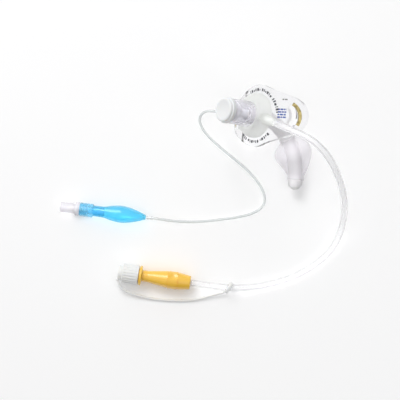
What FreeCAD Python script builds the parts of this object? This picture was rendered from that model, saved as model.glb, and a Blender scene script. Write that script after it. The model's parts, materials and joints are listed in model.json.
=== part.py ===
"""Cuffed tracheostomy tube with obturator, pilot balloon and capped suction connector.

Millimetres, +Z up. The tube lies as it comes to rest: on the end of its left wing and on its cuff.
The origin is on the resting surface, under the middle of the tube, hub and flange.
The head is made in its own frame, with the hub's axis as Z, the wings along X and the chin side at -Y.
"""

import FreeCAD
import Part
import math
import os

Vec = FreeCAD.Vector

# Head: where it points at rest, in degrees
CONNECTOR_HEADING = 176.5
CONNECTOR_RISE = 39.6
HEAD_ROLL = -2.6

# Fits
BOND_GAP = 0.05
SLIP_GAP = 0.10

# Outer cannula
CANNULA_OUTER_R = 4.65
CANNULA_BORE_R = 3.25
CANNULA_TOP = 8.0
CANNULA_DROP = 1.5
BEND_R = 36.0
BEND_TURN = 90.0
TIP_RUN = 4.7
TIP_LIP = 3.0
LUMEN_RIDGE_R = 1.15
LUMEN_RIDGE_RISE = 0.35
LUMEN_BORE_R = 0.65
LUMEN_START_TURN = 8.0
PORT_SETBACK = 3.0
PORT_LENGTH = 2.6

# Cuff, measured along the bent centreline
CUFF_START_TURN = 44.0
CUFF_COLLAR = 2.2
CUFF_LENGTH = 24.5
CUFF_R = 11.8
CUFF_WALL = 0.35
CUFF_COLLAR_WALL = 0.45

# Neck flange
PLATE_T = 2.0
PLATE_CENTRE_R = 19.2
WING_END_R = 12.0
WING_END_X = 21.0
WING_SWEEP = 25.5
WING_BEND_X = 10.8
WING_BEND_R = 14.0
SLOT_CENTRE_X = 14.5
SLOT_R = 10.5
SLOT_W = 4.0
SLOT_HALF_ANGLE = 30.0
CUTTER_REACH = 40.0

# Hub boss and breathing connector
BOSS_R = 13.8
BOSS_H = 7.6
BOSS_TOP_R = 9.4
CONE_END_R = 7.55
CONE_TAPER = 1.0 / 40.0
CONE_LENGTH = 15.7
CONNECTOR_FOOT = 0.6
CONNECTOR_BORE_R = 6.0
FUNNEL_H = 4.0

# Obturator
SHAFT_R = 2.65
PLUG_R = 5.6
PLUG_H = 5.0
PLUG_CONE_H = 4.5
HANDLE_R = 8.0
HANDLE_H = 2.4
FACE_R = 7.3
FACE_H = 1.6
FACE_DISH = 0.7
NOSE_RUN = 5.0
NOSE_THICK_RUN = 1.2
HANDLE_NOTCH_W = 2.4
HANDLE_NOTCH_DEPTH = 1.4
HANDLE_NOTCH_ANGLE = -118.0

# Line glands on the hub, in the head's frame
SUCTION_GLAND_AT = Vec(9.2, -1.5, 4.3)
SUCTION_GLAND_SWEEP = 18.0
SUCTION_GLAND_DIP = 20.0
SUCTION_GLAND_R = 3.2
SUCTION_GLAND_END_R = 2.75
SUCTION_GLAND_L = 10.0
SUCTION_GLAND_DEPTH = 7.0
INFLATION_GLAND_AT = Vec(-9.2, 1.5, 3.6)
INFLATION_GLAND_SWEEP = -10.0
INFLATION_GLAND_DIP = 0.0
INFLATION_GLAND_R = 1.9
INFLATION_GLAND_END_R = 1.4
INFLATION_GLAND_L = 9.0
INFLATION_GLAND_DEPTH = 6.0

# Inflation line and the pilot balloon at its end, with Z along the balloon from the luer mouth
INFLATION_LINE_R = 0.85
PILOT_X = -128.6
PILOT_Y = -42.0
PILOT_HEADING = -7.2
INLET_R = 3.22
INLET_L = 9.3
LUER_R = 2.10
LUER_STRAIGHT = 5.0
LUER_END_R = 1.9
LUER_L = 7.4
SEAT_T = 1.0
SEAT_HOLE_R = 1.45
COLLAR_R = 4.3
COLLAR_L = 3.0
COLLAR_EDGE = 0.4
CHAMBER_R = 3.3
BODY_R = 4.3
BODY_L = 8.6
CHAMBER_L = 4.1
WEB_T = 1.0
GUIDE_HOLE_R = 1.0
FLOW_HOLE_R = 0.35
STEM_R = 3.1
STEM_L = 7.0
STEM_BORE_R = 2.0
PLUNGER_NOSE_R = 1.15
PLUNGER_NOSE_L = 1.9
PLUNGER_HEAD_R = 2.6
PLUNGER_HEAD_T = 1.4
PLUNGER_TAIL_R = 0.8
PLUNGER_TAIL_L = 7.4
PLUNGER_TRAVEL = 1.2
SEAL_R = 2.4
SEAL_T = 0.7
SPRING_R = 1.7
SPRING_WIRE_R = 0.18
SPRING_TURNS = 4
SPRING_CORNERS = 6
BALLOON_R = 5.2
BALLOON_L = 33.6
BALLOON_WALL = 0.35
NECK_R = 1.2
NECK_END_R = 1.1
NECK_L = 7.0
NECK_LAP = 2.2
NECK_DEPTH = 4.0

# Suction line, its connector and cap, with Z along the connector from the cap's front
SUCTION_LINE_R = 2.1
CAP_X = -91.5
CAP_Y = -83.6
CONNECTOR_AXIS_HEADING = -8.4
CAP_RIM_R = 4.65
CAP_RIM_L = 2.3
CAP_R = 6.15
CAP_L = 12.9
CAP_FLOOR = 4.4
CAP_RIBS = 20
CAP_RIB_DEPTH = 0.35
NOZZLE_R = 4.25
NOZZLE_L = 8.7
CAP_END_GAP = 0.2
PORT_RING_R = 6.25
PORT_RING_T = 1.6
NECK_NARROW_R = 3.6
NECK_NARROW_L = 3.0
CONE_L = 12.7
BARREL_R = 5.6
BARREL_L = 6.4
TAIL_L = 8.2
TAIL_END_R = 4.35
GROOVE_W = 0.5
GROOVE_DEPTH = 0.35
PASSAGE_R = 1.7
LINE_SOCKET_L = 6.0
THUMB_DISH_R = 9.0
THUMB_DISH_DEPTH = 0.7
THUMB_DISH_ANGLE = -25.0

# Tether between a lug on the cap and a ring round the suction line
TETHER_R = 0.75
LUG_R = 0.95
LUG_L = 1.3
LUG_GAP = 0.3
RING_R = 3.4
RING_HALF_T = 0.45
RING_HALF_W = 1.0
RING_AT = Vec(-22.0, -93.37, 4.745)
RING_WAY = Vec(0.813, -0.570, -0.115)

# Routes of the lines and the tether after they leave their sockets
SUCTION_ROUTE = [
    Vec(22.7, -2.4, 54.5), Vec(32.6, -9.2, 52.5), Vec(40.2, -18.1, 45.0), Vec(45.8, -27.5, 34.5),
    Vec(49.9, -37.7, 22.5), Vec(51.1, -48.9, 11.5), Vec(48.6, -60.6, 4.4), Vec(42.4, -71.4, 2.3),
    Vec(31.9, -79.9, 2.2), Vec(19.7, -86.6, 2.2), Vec(6.4, -90.7, 2.2), Vec(-7.6, -93.3, 2.9),
    Vec(-22.0, -93.6, 4.8),
]
INFLATION_ROUTE = [
    Vec(-32.1, 18.4, 12.0), Vec(-37.8, 18.6, 7.5), Vec(-40.6, 14.6, 4.0), Vec(-39.0, 8.7, 2.0),
    Vec(-33.6, 2.1, 0.95), Vec(-23.3, -6.9, 0.9), Vec(-11.2, -16.6, 0.9), Vec(-2.6, -25.9, 0.9),
    Vec(1.9, -34.9, 0.9), Vec(0.6, -41.9, 0.9), Vec(-6.5, -46.4, 0.9), Vec(-17.0, -48.7, 0.9),
    Vec(-29.0, -50.3, 0.9), Vec(-42.6, -51.6, 1.9), Vec(-54.5, -51.5, 4.2),
]
TETHER_ROUTE = [
    Vec(-91.99, -89.04, 5.25), Vec(-90.78, -93.11, 4.57), Vec(-86.4, -96.0, 3.2), Vec(-80.0, -98.4, 1.9),
    Vec(-71.5, -100.3, 1.1), Vec(-61.5, -101.5, 0.8), Vec(-51.0, -101.8, 0.8), Vec(-41.3, -100.9, 1.0),
    Vec(-33.0, -98.3, 1.7), Vec(-24.75, -96.18, 2.97),
]


def turned(profile):
    """A solid turned about Z. A pair is a straight step to (radius, height); two pairs are an arc."""
    start = Vec(profile[0][0], 0, profile[0][1])
    here = start
    edges = []
    for step in list(profile[1:]) + [profile[0]]:
        if isinstance(step[0], tuple):
            middle = Vec(step[0][0], 0, step[0][1])
            there = Vec(step[1][0], 0, step[1][1])
            edges.append(Part.Arc(here, middle, there).toShape())
        else:
            there = Vec(step[0], 0, step[1])
            if there.distanceToPoint(here) > 1e-6:
                edges.append(Part.makeLine(here, there))
        here = there
    return Part.Face(Part.Wire(edges)).revolve(Vec(0, 0, 0), Vec(0, 0, 1), 360)


def cap_middle(rim_r, rim_z, pole_z):
    """The middle point of a round cap's arc, from its rim to its pole on the axis."""
    rise = pole_z - rim_z
    radius = (rim_r ** 2 + rise ** 2) / (2 * rise)
    centre = pole_z - radius
    swing = math.asin(rim_r / abs(radius)) / 2
    return abs(radius) * math.sin(swing), centre + radius * math.cos(swing)


def frame_at(point, z_way, x_way=Vec(1, 0, 0)):
    """The placement that takes Z to z_way and X towards x_way, at point."""
    z_axis = Vec(z_way).normalize()
    y_axis = z_axis.cross(x_way).normalize()
    x_axis = y_axis.cross(z_axis)
    return FreeCAD.Placement(point, FreeCAD.Rotation(x_axis, y_axis, z_axis, "ZXY"))


def placed(shape, place):
    """A copy of the shape, moved by the placement."""
    moved = shape.copy()
    moved.Placement = place.multiply(moved.Placement)
    return moved


def cylinder(radius, start, way, length):
    """A rod from start along way."""
    return Part.makeCylinder(radius, length, start, way)


def head_frame(lift):
    """The head's placement: its Z is the connector's axis, with the given hub position."""
    heading = math.radians(CONNECTOR_HEADING)
    rise = math.radians(CONNECTOR_RISE)
    out = Vec(math.cos(rise) * math.cos(heading), math.cos(rise) * math.sin(heading), math.sin(rise))
    crown = Vec(math.sin(heading), -math.cos(heading), 0)
    level = FreeCAD.Rotation(crown.cross(out), crown, out, "ZYX")
    roll = FreeCAD.Rotation(Vec(0, 0, 1), HEAD_ROLL)
    return FreeCAD.Placement(lift, level.multiply(roll))


def centreline_place(turn, beyond=0.0):
    """The place on the cannula's centreline after a turn in degrees, with Z along the tube.

    X stays the head's X, and Y points to the outside of the bend. beyond adds a straight run.
    """
    angle = math.radians(turn)
    point = Vec(0, -BEND_R * (1 - math.cos(angle)), -CANNULA_DROP - BEND_R * math.sin(angle))
    along = Vec(0, -math.sin(angle), -math.cos(angle))
    outside = Vec(0, math.cos(angle), -math.sin(angle))
    turned_by = FreeCAD.Rotation(outside.cross(along), outside, along, "ZYX")
    return FreeCAD.Placement(point + along * beyond, turned_by)


def bent_rod(radius, top, end_run, offset=0.0, start_turn=0.0, end_turn=None):
    """A round rod along the cannula's centreline, from top, round the bend, to end_run past it."""
    end_turn = BEND_TURN if end_turn is None else end_turn
    at = centreline_place(start_turn)
    along = at.Rotation.multVec(Vec(0, 0, 1))
    section = Part.Face(Part.Wire(Part.makeCircle(radius, at.multVec(Vec(0, offset, 0)), along)))
    pivot = Vec(0, -BEND_R, -CANNULA_DROP)
    rod = section.revolve(pivot, Vec(-1, 0, 0), end_turn - start_turn)
    if top is not None:
        rod = rod.fuse(cylinder(radius, Vec(0, offset, -CANNULA_DROP), Vec(0, 0, 1), top + CANNULA_DROP))
    if end_run > 0:
        end = centreline_place(end_turn)
        way = end.Rotation.multVec(Vec(0, 0, 1))
        rod = rod.fuse(cylinder(radius, end.multVec(Vec(0, offset, 0)), way, end_run))
    return rod.removeSplitter()


def plate_slab():
    """The bent plate before its outline is cut: flat in the middle, with both wings swept back."""
    sweep = math.radians(WING_SWEEP)
    bend_x = WING_BEND_X - WING_BEND_R * math.tan(sweep / 2)
    reach = WING_END_X + WING_END_R + 5

    def side(radius):
        """Points of one face from the middle outwards: bend start, bend middle, bend end, wing end."""
        centre = Vec(bend_x, 0, -WING_BEND_R)
        spots = [centre + Vec(math.sin(a), 0, math.cos(a)) * radius for a in (0, sweep / 2, sweep)]
        run = (reach - spots[2].x) / math.cos(sweep)
        spots.append(spots[2] + Vec(math.cos(sweep), 0, -math.sin(sweep)) * run)
        return spots

    def flip(point):
        return Vec(-point.x, point.y, point.z)

    front = side(WING_BEND_R)
    back = side(WING_BEND_R - PLATE_T)
    edges = []
    for face in (front, back):
        edges.append(Part.makeLine(flip(face[0]), face[0]))
        edges.append(Part.Arc(face[0], face[1], face[2]).toShape())
        edges.append(Part.makeLine(face[2], face[3]))
        edges.append(Part.Arc(flip(face[0]), flip(face[1]), flip(face[2])).toShape())
        edges.append(Part.makeLine(flip(face[2]), flip(face[3])))
    edges.append(Part.makeLine(front[3], back[3]))
    edges.append(Part.makeLine(flip(front[3]), flip(back[3])))
    section = Part.Face(Part.Wire(Part.__sortEdges__(edges)))
    half = PLATE_CENTRE_R + 5
    section.translate(Vec(0, -half, 0))
    return section.extrude(Vec(0, 2 * half, 0))


def plate_outline():
    """The plate seen from the front: a round middle drawn out to two smaller round wing ends."""
    middle_r = PLATE_CENTRE_R
    end_r = WING_END_R
    lean = math.asin((middle_r - end_r) / WING_END_X)
    normal = Vec(math.sin(lean), math.cos(lean), 0)
    top_in = normal * middle_r
    top_out = normal * end_r + Vec(WING_END_X, 0, 0)

    def corner(point, x_sign, y_sign):
        return Vec(point.x * x_sign, point.y * y_sign, 0)

    edges = [
        Part.Arc(corner(top_in, -1, 1), Vec(0, middle_r, 0), top_in).toShape(),
        Part.makeLine(top_in, top_out),
        Part.Arc(top_out, Vec(WING_END_X + end_r, 0, 0), corner(top_out, 1, -1)).toShape(),
        Part.makeLine(corner(top_out, 1, -1), corner(top_in, 1, -1)),
        Part.Arc(corner(top_in, 1, -1), Vec(0, -middle_r, 0), corner(top_in, -1, -1)).toShape(),
        Part.makeLine(corner(top_in, -1, -1), corner(top_out, -1, -1)),
        Part.Arc(corner(top_out, -1, -1), Vec(-WING_END_X - end_r, 0, 0), corner(top_out, -1, 1)).toShape(),
        Part.makeLine(corner(top_out, -1, 1), corner(top_in, -1, 1)),
    ]
    return Part.Wire(edges)


def slot_cutter(x_sign):
    """A crescent slot with round ends, as a tall prism."""
    half_angle = math.radians(SLOT_HALF_ANGLE)
    inner_r = SLOT_R - SLOT_W / 2
    outer_r = SLOT_R + SLOT_W / 2

    def at(radius, angle):
        return Vec(x_sign * (SLOT_CENTRE_X + radius * math.cos(angle)), radius * math.sin(angle), 0)

    def cap_middle(sign):
        swing = sign * half_angle
        tip = Vec(-math.sin(swing) * sign, math.cos(swing) * sign, 0) * (SLOT_W / 2)
        return Vec(at(SLOT_R, swing).x + x_sign * tip.x, at(SLOT_R, swing).y + tip.y, 0)

    edges = [
        Part.Arc(at(outer_r, -half_angle), at(outer_r, 0), at(outer_r, half_angle)).toShape(),
        Part.Arc(at(outer_r, half_angle), cap_middle(1), at(inner_r, half_angle)).toShape(),
        Part.Arc(at(inner_r, half_angle), at(inner_r, 0), at(inner_r, -half_angle)).toShape(),
        Part.Arc(at(inner_r, -half_angle), cap_middle(-1), at(outer_r, -half_angle)).toShape(),
    ]
    face = Part.Face(Part.Wire(edges))
    face.translate(Vec(0, 0, -CUTTER_REACH))
    return face.extrude(Vec(0, 0, 1.5 * CUTTER_REACH))


def make_neck_flange():
    """The soft plate: swept wings, a crescent slot in each, and the hole that the cannula passes."""
    outline = Part.Face(plate_outline())
    outline.translate(Vec(0, 0, -CUTTER_REACH))
    plate = plate_slab().common(outline.extrude(Vec(0, 0, 1.5 * CUTTER_REACH)))
    for x_sign in (-1, 1):
        plate = plate.cut(slot_cutter(x_sign))
    hole_r = CANNULA_OUTER_R + BOND_GAP
    plate = plate.cut(cylinder(hole_r, Vec(0, 0, -10), Vec(0, 0, 1), 20))
    groove = bent_rod(LUMEN_RIDGE_R + BOND_GAP, None, 0, ridge_offset(), 0, LUMEN_START_TURN + 20)
    return plate.cut(groove).removeSplitter()


def gland_way(sweep, dip, x_sign):
    """The way a line leaves the hub: sideways, swept back and dipped towards the chin."""
    back = math.radians(sweep)
    down = math.radians(dip)
    level = math.cos(down)
    return Vec(x_sign * math.cos(back) * level, -math.sin(down), -math.sin(back) * level)


def suction_gland_place():
    """The suction gland's own frame, with Z out of its mouth."""
    return frame_at(SUCTION_GLAND_AT, gland_way(SUCTION_GLAND_SWEEP, SUCTION_GLAND_DIP, 1), Vec(0, 1, 0))


def inflation_gland_place():
    """The inflation gland's own frame, with Z out of its mouth."""
    way = gland_way(INFLATION_GLAND_SWEEP, INFLATION_GLAND_DIP, -1)
    return frame_at(INFLATION_GLAND_AT, way, Vec(0, 1, 0))


def make_gland(root_r, end_r, length, depth, line_r):
    """A tapered collar with a blind bore for the line."""
    root = length * 0.45
    rounding = end_r * 0.25
    body = turned([(0, 0), (root_r, 0), (root_r, root), (end_r, length - rounding),
                   (end_r - rounding, length), (0, length)])
    bore = cylinder(line_r + BOND_GAP, Vec(0, 0, length - depth), Vec(0, 0, 1), depth + 1)
    return body.cut(bore)


def make_hub_boss():
    """The clear dome round the connector's foot, with a side hole for each line gland."""
    bore = connector_foot_r() + BOND_GAP
    dome = turned([(bore, 0), (BOSS_R, 0), (BOSS_R, 1.2),
                   ((BOSS_R - 1.3, BOSS_H * 0.66), (BOSS_TOP_R, BOSS_H)), (bore, BOSS_H)])
    reach = BOSS_R + 4
    for place, radius in ((suction_gland_place(), SUCTION_GLAND_R), (inflation_gland_place(), INFLATION_GLAND_R)):
        dome = dome.cut(placed(cylinder(radius + BOND_GAP, Vec(0, 0, 0), Vec(0, 0, 1), reach), place))
    return dome


def connector_end():
    """The height of the connector's open end above the plate."""
    return BOSS_H + CONE_LENGTH


def connector_foot_r():
    """The radius of the straight foot under the cone."""
    return CONE_END_R + CONE_LENGTH * CONE_TAPER


def make_connector():
    """The breathing connector: a cone outside, and a bore that narrows to the cannula's."""
    socket_r = CANNULA_OUTER_R + BOND_GAP
    foot_r = connector_foot_r()
    end = connector_end()
    funnel_top = CANNULA_TOP + FUNNEL_H
    rim = 0.5
    return turned([
        (socket_r, CONNECTOR_FOOT), (foot_r, CONNECTOR_FOOT), (foot_r, BOSS_H),
        (CONE_END_R, end - rim), (CONE_END_R - rim, end), (CONNECTOR_BORE_R + 0.2, end),
        (CONNECTOR_BORE_R, end - 0.6), (CONNECTOR_BORE_R, funnel_top),
        (CANNULA_BORE_R, CANNULA_TOP + BOND_GAP), (socket_r, CANNULA_TOP + BOND_GAP),
    ])


def ridge_offset():
    """How far outside the centreline the suction lumen runs."""
    return CANNULA_OUTER_R - LUMEN_RIDGE_R + LUMEN_RIDGE_RISE


def arc_turn(length):
    """The turn in degrees that a length along the centreline makes."""
    return math.degrees(length / BEND_R)


def make_cannula():
    """The bent tube, with the suction lumen as a ridge on its outside and a port above the cuff."""
    lumen_end = CUFF_START_TURN - arc_turn(BOND_GAP)
    ridge = bent_rod(LUMEN_RIDGE_R, None, 0, ridge_offset(), LUMEN_START_TURN, lumen_end)
    wall_run = TIP_RUN - TIP_LIP
    tube = bent_rod(CANNULA_OUTER_R, CANNULA_TOP, wall_run).fuse(ridge)
    lip_turn = math.asin(TIP_LIP / CANNULA_OUTER_R)
    lip_middle = (CANNULA_OUTER_R * math.cos(lip_turn / 2), CANNULA_OUTER_R * math.sin(lip_turn / 2))
    lip = turned([(0, 0), (CANNULA_OUTER_R, 0), (lip_middle, (CANNULA_OUTER_R * math.cos(lip_turn), TIP_LIP)),
                  (0, TIP_LIP)])
    tube = tube.fuse(placed(lip, centreline_place(BEND_TURN, wall_run)))
    tube = tube.cut(bent_rod(CANNULA_BORE_R, CANNULA_TOP + 1, TIP_RUN + 1))
    lumen_from = LUMEN_START_TURN + arc_turn(LUMEN_RIDGE_R)
    port_turn = lumen_end - arc_turn(PORT_SETBACK)
    lumen = bent_rod(LUMEN_BORE_R, None, 0, ridge_offset(), lumen_from, port_turn)
    half_slot = PORT_LENGTH / 2 - PORT_LENGTH / 4
    port = Part.makeBox(PORT_LENGTH / 2, 3, 2 * half_slot, Vec(-PORT_LENGTH / 4, 0, -half_slot))
    for end in (-half_slot, half_slot):
        port = port.fuse(Part.makeCylinder(PORT_LENGTH / 4, 3, Vec(0, 0, end), Vec(0, 1, 0)))
    port.translate(Vec(0, ridge_offset(), 0))
    return tube.cut(lumen).cut(placed(port, centreline_place(port_turn))).removeSplitter()


def make_obturator():
    """One moulding: a round handle, a plug in the connector, a bent shaft and a rounded nose."""
    base = connector_end() + SLIP_GAP
    rim = base + HANDLE_H
    face = rim + FACE_H
    plug_end = base - PLUG_H
    cone_end = plug_end - PLUG_CONE_H
    dish_r = FACE_R - 1.6
    head = turned([
        (0, cone_end), (SHAFT_R, cone_end), (PLUG_R, plug_end), (PLUG_R, base),
        (HANDLE_R, base), (HANDLE_R, rim - 0.5), (HANDLE_R - 0.5, rim), (FACE_R, rim),
        (FACE_R, face - 1.0), ((FACE_R - 0.3, face - 0.3), (FACE_R - 1.0, face)),
        (dish_r, face), (cap_middle(dish_r, face, face - FACE_DISH), (0, face - FACE_DISH)),
    ])
    notch_way = math.radians(HANDLE_NOTCH_ANGLE)
    notch = Part.makeBox(2 * HANDLE_NOTCH_DEPTH, HANDLE_NOTCH_W, HANDLE_H + 2,
                         Vec(-HANDLE_NOTCH_DEPTH, -HANDLE_NOTCH_W / 2, base - 1))
    at = Vec(math.cos(notch_way), math.sin(notch_way), 0)
    head = head.cut(placed(notch, frame_at(at * HANDLE_R, Vec(0, 0, 1), at)))
    nose_r = CANNULA_BORE_R - SLIP_GAP
    shaft = bent_rod(SHAFT_R, cone_end, 0)
    tip = TIP_RUN - TIP_LIP + CANNULA_OUTER_R
    nose = turned([(0, -NOSE_RUN), (SHAFT_R, -NOSE_RUN), (nose_r, -NOSE_THICK_RUN), (nose_r, TIP_RUN),
                   (cap_middle(nose_r, TIP_RUN, tip), (0, tip))])
    return head.fuse(shaft).fuse(placed(nose, centreline_place(BEND_TURN))).removeSplitter()


def cuff_skin(swell, collar_r):
    """The cuff's outside or inside: rings along the bend, joined by a smooth skin."""
    stations = [(0.0, 0.0), (0.08, 0.30), (0.20, 0.78), (0.36, 1.0), (0.52, 0.90), (0.68, 0.62),
                (0.84, 0.30), (0.95, 0.07), (1.0, 0.0)]
    rings = []
    for share, height in stations:
        place = centreline_place(CUFF_START_TURN + arc_turn(CUFF_COLLAR + share * CUFF_LENGTH))
        radius = collar_r + height * (swell - collar_r)
        rings.append(placed(Part.Wire(Part.makeCircle(radius)), place))
    return Part.makeLoft(rings, True, False)


def make_cuff():
    """A thin tapered balloon round the cannula, bonded to it by a collar at each end."""
    seat_r = CANNULA_OUTER_R + BOND_GAP
    collar_r = seat_r + CUFF_COLLAR_WALL
    collar_turn = arc_turn(CUFF_COLLAR)
    lower = CUFF_START_TURN + arc_turn(CUFF_COLLAR + CUFF_LENGTH)
    skin = cuff_skin(CUFF_R, collar_r)
    skin = skin.fuse(bent_rod(collar_r, None, 0, 0.0, CUFF_START_TURN, CUFF_START_TURN + collar_turn))
    skin = skin.fuse(bent_rod(collar_r, None, 0, 0.0, lower, lower + collar_turn))
    skin = skin.cut(cuff_skin(CUFF_R - CUFF_WALL, seat_r))
    return skin.cut(bent_rod(seat_r, None, TIP_RUN, 0.0, 0.0, None)).removeSplitter()


def route_wire(name, points):
    """Straight runs joined by arcs as large as the runs allow. Prints the length and the tightest arc."""
    edges = []
    here = points[0]
    radii = []
    for before, corner, after in zip(points, points[1:], points[2:]):
        way_in = (corner - before).normalize()
        way_out = (after - corner).normalize()
        half_turn = way_in.getAngle(way_out) / 2
        reach = 0.45 * min((corner - before).Length, (after - corner).Length)
        radii.append(reach / math.tan(half_turn))
        arc_start = corner - way_in * reach
        arc_end = corner + way_out * reach
        inward = (way_out - way_in).normalize()
        arc_middle = corner + inward * (radii[-1] / math.cos(half_turn) - radii[-1])
        edges.append(Part.LineSegment(here, arc_start).toShape())
        edges.append(Part.Arc(arc_start, arc_middle, arc_end).toShape())
        here = arc_end
    edges.append(Part.LineSegment(here, points[-1]).toShape())
    wire = Part.Wire(edges)
    print("%s: length %.1f, tightest arc %.1f, radii %s" % (
        name, wire.Length, min(radii), " ".join("%.0f" % r for r in radii)))
    return wire


def make_line(name, points, radius):
    """A plain round tube along the route, with its volume set against section times length."""
    wire = route_wire(name, points)
    start_way = (points[1] - points[0]).normalize()
    section = Part.Wire(Part.makeCircle(radius, points[0], start_way))
    tube = wire.makePipeShell([section], True, False)
    print("%s: volume %.1f, section times length %.1f" % (
        name, tube.Volume, math.pi * radius ** 2 * wire.Length))
    return tube


def pilot_place():
    """The pilot balloon's frame: it rests on the valve's collar and on the balloon."""
    collar_at = INLET_L + COLLAR_EDGE
    slope = math.atan((BALLOON_R - COLLAR_R) / (balloon_widest() - collar_at))
    heading = math.radians(PILOT_HEADING)
    way = Vec(math.cos(heading) * math.cos(slope), math.sin(heading) * math.cos(slope), math.sin(slope))
    height = COLLAR_R * math.cos(slope) - collar_at * math.sin(slope)
    return frame_at(Vec(PILOT_X, PILOT_Y, height), way, Vec(0, 0, 1))


def balloon_start():
    """Where the balloon's film starts on the stem, from the luer mouth."""
    return INLET_L + COLLAR_L + BODY_L + BOND_GAP


def balloon_widest():
    """Where the balloon is widest, from the luer mouth."""
    return balloon_start() + 0.52 * BALLOON_L


def make_luer_inlet():
    """The clear front half of the check valve: luer bore, valve seat, and the collar behind."""
    collar_end = INLET_L + COLLAR_L
    seat_end = LUER_L + SEAT_T
    return turned([
        (LUER_R + 0.3, 0), (INLET_R - 0.3, 0), (INLET_R, 0.3), (INLET_R, INLET_L - 0.4),
        ((INLET_R + 0.12, INLET_L - 0.12), (INLET_R + 0.4, INLET_L)), (COLLAR_R - COLLAR_EDGE, INLET_L),
        (COLLAR_R, INLET_L + COLLAR_EDGE), (COLLAR_R, collar_end - COLLAR_EDGE),
        (COLLAR_R - COLLAR_EDGE, collar_end),
        (CHAMBER_R, collar_end), (CHAMBER_R, seat_end), (SEAT_HOLE_R, seat_end), (SEAT_HOLE_R, LUER_L),
        (LUER_END_R, LUER_L), (LUER_R, LUER_STRAIGHT + 0.3), (LUER_R, 0.3),
    ])


def make_valve_body():
    """The blue rear half: ribbed outside, a web that guides the plunger, and the stem in the balloon."""
    start = INLET_L + COLLAR_L + BOND_GAP
    end = start + BODY_L - BOND_GAP
    web_start = start + CHAMBER_L
    web_end = web_start + WEB_T
    stem_end = end + STEM_L
    body = turned([
        (CHAMBER_R, start), (BODY_R - 0.3, start), (BODY_R, start + 0.3), (BODY_R, end - 0.7),
        ((BODY_R - 0.2, end - 0.2), (BODY_R - 0.7, end)), (STEM_R, end), (STEM_R, stem_end - 0.5),
        (STEM_R - 0.4, stem_end), (STEM_BORE_R, stem_end), (STEM_BORE_R, web_end),
        (GUIDE_HOLE_R, web_end), (GUIDE_HOLE_R, web_start), (CHAMBER_R, web_start),
    ])
    for share in (0.24, 0.48, 0.72):
        at = start + share * BODY_L
        ring = turned([(BODY_R - 0.3, at), (BODY_R + 1, at), (BODY_R + 1, at + 0.5), (BODY_R - 0.3, at + 0.5)])
        body = body.cut(ring)
    hole_circle = (GUIDE_HOLE_R + STEM_BORE_R) / 2
    for angle in (0, 120, 240):
        hole = cylinder(FLOW_HOLE_R, Vec(hole_circle, 0, web_start - 0.5), Vec(0, 0, 1), WEB_T + 1)
        hole.rotate(Vec(0, 0, 0), Vec(0, 0, 1), angle)
        body = body.cut(hole)
    return body


def plunger_head_start():
    """Where the plunger's head begins: behind the seat and the washer."""
    return LUER_L + SEAT_T + SEAL_T + 2 * BOND_GAP


def make_valve_plunger():
    """The plunger: a nose that the syringe tip pushes, a head behind the washer, and a guided tail."""
    head = plunger_head_start()
    nose = head - SEAL_T - SEAT_T - PLUNGER_NOSE_L
    head_end = head + PLUNGER_HEAD_T
    tail_end = head_end + PLUNGER_TAIL_L
    return turned([
        (0, nose), (PLUNGER_NOSE_R - 0.3, nose), (PLUNGER_NOSE_R, nose + 0.3), (PLUNGER_NOSE_R, head),
        (PLUNGER_HEAD_R, head), (PLUNGER_HEAD_R, head_end), (PLUNGER_TAIL_R, head_end),
        (PLUNGER_TAIL_R, tail_end - 0.3), (PLUNGER_TAIL_R - 0.3, tail_end), (0, tail_end),
    ])


def make_valve_seal():
    """The rubber washer on the plunger, in front of its head."""
    start = LUER_L + SEAT_T + BOND_GAP
    inner = PLUNGER_NOSE_R + BOND_GAP
    return turned([(inner, start), (SEAL_R - 0.2, start), (SEAL_R, start + 0.2), (SEAL_R, start + SEAL_T),
                   (inner, start + SEAL_T)])


def make_valve_spring():
    """The coil spring round the plunger's tail, from its head to the web, as arcs from corner to corner."""
    start = plunger_head_start() + PLUNGER_HEAD_T + SPRING_WIRE_R + BOND_GAP
    end = INLET_L + COLLAR_L + BOND_GAP + CHAMBER_L - SPRING_WIRE_R - BOND_GAP
    corners = SPRING_TURNS * SPRING_CORNERS
    points = []
    for corner in range(corners + 1):
        angle = 2 * math.pi * corner / SPRING_CORNERS
        rise = start + (end - start) * corner / corners
        points.append(Vec(SPRING_R * math.cos(angle), SPRING_R * math.sin(angle), rise))
    return make_line("valve_spring", points, SPRING_WIRE_R)


def balloon_side(inward, start, end):
    """The balloon's side as one smooth curve in radius and height, moved inward by a wall."""
    shape = [(0.0, 0.51), (0.2, 0.56), (0.34, 0.80), (0.52, 1.0), (0.68, 0.84), (0.83, 0.46),
             (0.94, 0.10), (1.0, 0.0)]
    end_r = NECK_R + BOND_GAP + BALLOON_WALL
    spots = []
    for share, swell in shape:
        radius = end_r + swell * (BALLOON_R - end_r) - inward
        spots.append(Vec(radius, 0, start + share * (end - start)))
    side = Part.BSplineCurve()
    side.interpolate(spots)
    return side.toShape(), spots


def make_pilot_balloon():
    """A thin film balloon, gripping the valve's stem at one end and the clear neck at the other."""
    start = balloon_start()
    end = start + BALLOON_L
    outer, outer_spots = balloon_side(0.0, start, end)
    inner, inner_spots = balloon_side(BALLOON_WALL, start, end)
    edges = [outer, Part.makeLine(outer_spots[-1], inner_spots[-1]), inner,
             Part.makeLine(inner_spots[0], outer_spots[0])]
    film = Part.Face(Part.Wire(Part.__sortEdges__(edges))).revolve(Vec(0, 0, 0), Vec(0, 0, 1), 360)
    grip = cylinder(STEM_R + BOND_GAP, Vec(0, 0, start - 1), Vec(0, 0, 1), STEM_L + 1)
    return film.cut(grip)


def neck_start():
    """Where the clear neck sleeve starts inside the balloon's end."""
    return balloon_start() + BALLOON_L - NECK_LAP


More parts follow.
